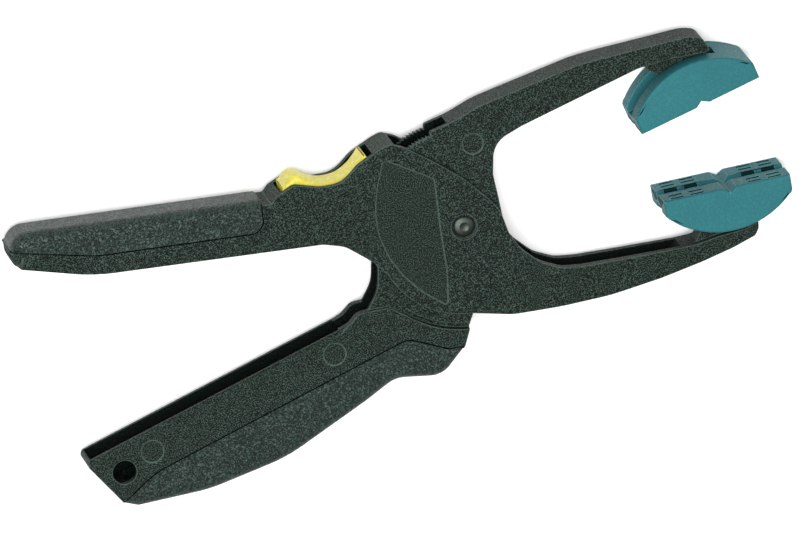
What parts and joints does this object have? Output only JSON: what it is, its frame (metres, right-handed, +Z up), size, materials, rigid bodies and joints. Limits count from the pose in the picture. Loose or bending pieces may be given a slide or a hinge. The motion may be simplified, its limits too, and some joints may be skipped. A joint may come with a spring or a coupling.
{
  "type": "ratcheting spring clamp",
  "caption": "One-handed spring clamp with pistol-like handles, a ratchet with a release trigger, and swivelling jaw pads that stay flat on the work.",
  "frame": {"origin": "centre of the footprint, on the surface the clamp lies on", "axes": "+X from the handles towards the jaws, +Y towards the upper jaw's side, +Z up, along the pivot"},
  "size_m": [0.2482, 0.1472, 0.022],
  "materials": {
    "hard_shell": "fine moulded texture, dark grey-green",
    "soft_grip": "leathery moulded texture, dark grey-green",
    "trigger": "satin yellow",
    "pads": "satin teal, slightly soft",
    "steel": "zinc plated, dull",
    "bush": "natural nylon"
  },
  "bodies": {
    "frame": {"main_frame": "hard_shell", "upper_grip": "soft_grip", "pivot_rivet": "steel", "rivet_washer": "steel", "pivot_bush": "bush", "trigger_pin": "steel", "lower_pad_pin": "steel", "main_spring": "steel", "trigger_spring": "steel"},
    "lever": {"lever_frame": "hard_shell", "lower_grip": "soft_grip", "upper_pad_pin": "steel"},
    "trigger": {"release_trigger": "trigger", "ratchet_pawl": "steel"},
    "upper_pad": {"upper_pad": "pads"},
    "lower_pad": {"lower_pad": "pads"}
  },
  "joints": [
    {"name": "lever_pivot", "type": "hinge", "parent": "frame", "child": "lever", "pos_m": [0.01987, 0.01444, 0.011], "axis": [0, 0, -1], "range_deg": [-17.6, 13.2], "deforming": ["main_spring"]},
    {"name": "trigger_pivot", "type": "hinge", "parent": "frame", "child": "trigger", "pos_m": [-0.01513, 0.02805, 0.011], "axis": [0, 0, 1], "range_deg": [-3.8, 4], "stiffness_Nm_per_rad": 0.02, "deforming": ["trigger_spring"]},
    {"name": "upper_pad_swivel", "type": "hinge", "parent": "lever", "child": "upper_pad", "pos_m": [0.09061, 0.05906, 0.011], "axis": [0, 0, 1], "range_deg": [-14, 4]},
    {"name": "lower_pad_swivel", "type": "hinge", "parent": "frame", "child": "lower_pad", "pos_m": [0.10443, 0.01828, 0.011], "axis": [0, 0, 1], "range_deg": [-12, 8]}
  ]
}
